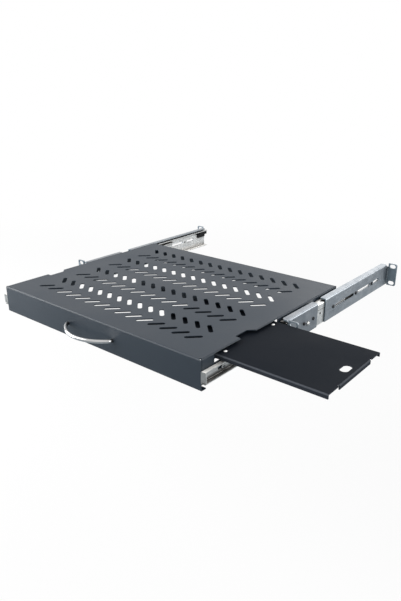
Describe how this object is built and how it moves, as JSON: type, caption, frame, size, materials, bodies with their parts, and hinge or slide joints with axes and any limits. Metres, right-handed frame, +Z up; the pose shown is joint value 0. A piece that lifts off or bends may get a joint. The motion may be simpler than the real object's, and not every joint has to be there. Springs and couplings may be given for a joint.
{
  "type": "rack keyboard drawer",
  "caption": "Sliding rack drawer: a vented folded tray with a bow handle on ball slides between rack brackets, and a smaller tray that slides out of its side.",
  "frame": {"origin": "middle of the four front rack holes, on the rear faces of the front ears", "axes": "+X to the right seen from the front, +Y to the back of the rack, +Z up"},
  "size_m": [0.6036, 0.559, 0.044],
  "materials": {
    "tray_coat": "fine satin powder coat",
    "side_tray_coat": "fine satin powder coat, darker",
    "bracket_zinc": "blue zinc plating",
    "bright_zinc": "bright zinc plating",
    "handle_chrome": "polished chrome",
    "black_bolt": "black oxide",
    "bumper_plastic": "moulded black plastic"
  },
  "bodies": {
    "rails": {"front_bracket_left": "bracket_zinc", "front_bracket_right": "bracket_zinc", "rear_bracket_left": "bracket_zinc", "rear_bracket_right": "bracket_zinc", "slide_outer_left": "bright_zinc", "slide_outer_right": "bright_zinc", "rear_bumper_left": "bumper_plastic", "rear_bumper_right": "bumper_plastic", "bracket_bolts": "black_bolt", "bracket_rivets": "bright_zinc"},
    "drawer": {"keyboard_tray": "tray_coat", "bow_handle": "handle_chrome", "handle_screws": "bright_zinc", "slide_inner_left": "bright_zinc", "slide_inner_right": "bright_zinc", "slide_screws": "bright_zinc", "mouse_guide_front": "tray_coat", "mouse_guide_rear": "tray_coat"},
    "slide_middle": {"slide_middle_left": "bright_zinc", "slide_middle_right": "bright_zinc"},
    "outer_cages": {"outer_cage_left": "bright_zinc", "outer_cage_right": "bright_zinc"},
    "inner_cages": {"inner_cage_left": "bright_zinc", "inner_cage_right": "bright_zinc"},
    "mouse_tray": {"mouse_tray": "side_tray_coat", "stop_tabs": "side_tray_coat", "stop_rivets": "bright_zinc"}
  },
  "joints": [
    {"name": "drawer_slide", "type": "slide", "parent": "rails", "child": "drawer", "axis": [0, -1, 0], "range_m": [0, 0.172]},
    {"name": "middle_slide", "type": "slide", "parent": "rails", "child": "slide_middle", "axis": [0, -1, 0], "range_m": [0, 0.086]},
    {"name": "outer_cage_slide", "type": "slide", "parent": "rails", "child": "outer_cages", "axis": [0, -1, 0], "range_m": [0, 0.043]},
    {"name": "inner_cage_slide", "type": "slide", "parent": "rails", "child": "inner_cages", "axis": [0, -1, 0], "range_m": [0, 0.129]},
    {"name": "side_tray_slide", "type": "slide", "parent": "drawer", "child": "mouse_tray", "axis": [1, 0, 0], "range_m": [-0.1537, 0]}
  ],
  "couplings": [
    {"joint": "middle_slide", "follows": "drawer_slide", "ratio": 0.5},
    {"joint": "outer_cage_slide", "follows": "drawer_slide", "ratio": 0.25},
    {"joint": "inner_cage_slide", "follows": "drawer_slide", "ratio": 0.75}
  ]
}
